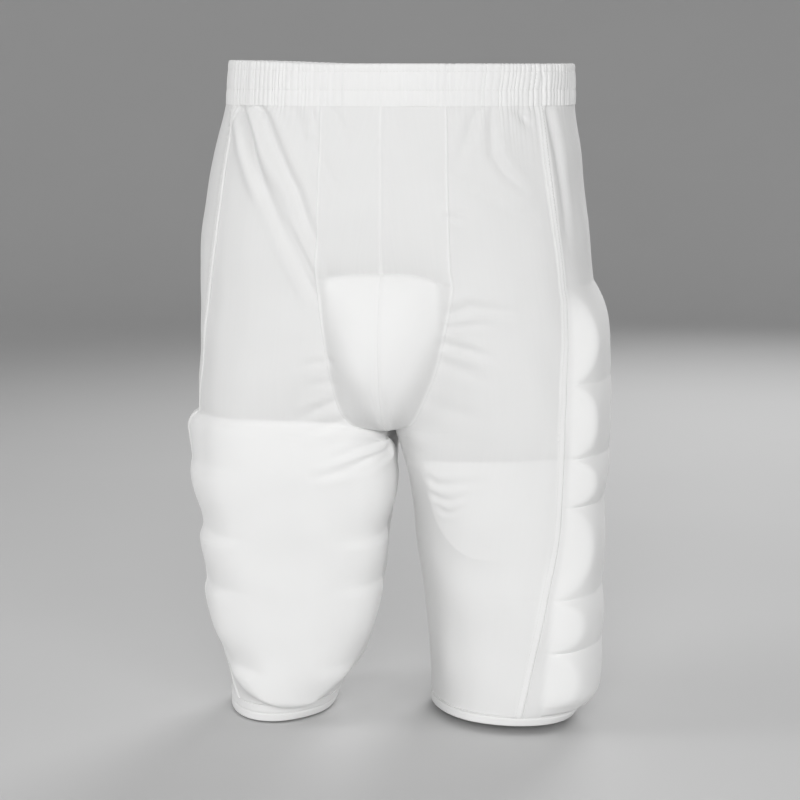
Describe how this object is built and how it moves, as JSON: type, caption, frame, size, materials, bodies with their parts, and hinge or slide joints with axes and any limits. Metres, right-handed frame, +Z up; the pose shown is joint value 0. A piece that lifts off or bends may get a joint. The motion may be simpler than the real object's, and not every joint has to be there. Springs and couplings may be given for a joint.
{
  "type": "padded protective shorts",
  "caption": "Knitted protective sport shorts with a gathered elastic waistband, cup pad, thigh guard on one leg and a column of foam blocks down the other hip.",
  "frame": {"origin": "middle of the waist opening, half way up the waistband", "axes": "+Z up, -Y towards the front of the shorts, the wearer's right leg on the -X side"},
  "size_m": [0.3615, 0.2684, 0.5682],
  "materials": {
    "knit_cloth": "matt white polyester knit",
    "elastic_band": "matt white woven elastic, gathered",
    "foam_pad": "foam in a plain white cloth cover"
  },
  "bodies": {
    "root": {"waistband": "elastic_band", "gusset_right": "knit_cloth", "front_panel_right": "knit_cloth", "side_panel_right": "knit_cloth", "back_panel_right": "knit_cloth", "hem_right": "knit_cloth", "gusset_left": "knit_cloth", "front_panel_left": "knit_cloth", "side_panel_left": "knit_cloth", "back_panel_left": "knit_cloth", "hem_left": "knit_cloth", "cup_pad": "foam_pad", "thigh_pad_right": "foam_pad", "front_pad_left": "foam_pad", "side_pad_left_1": "foam_pad", "side_pad_left_2": "foam_pad", "side_pad_left_3": "foam_pad", "side_pad_left_4": "foam_pad", "side_pad_left_5": "foam_pad", "side_pad_left_6": "foam_pad"}
  },
  "joints": []
}
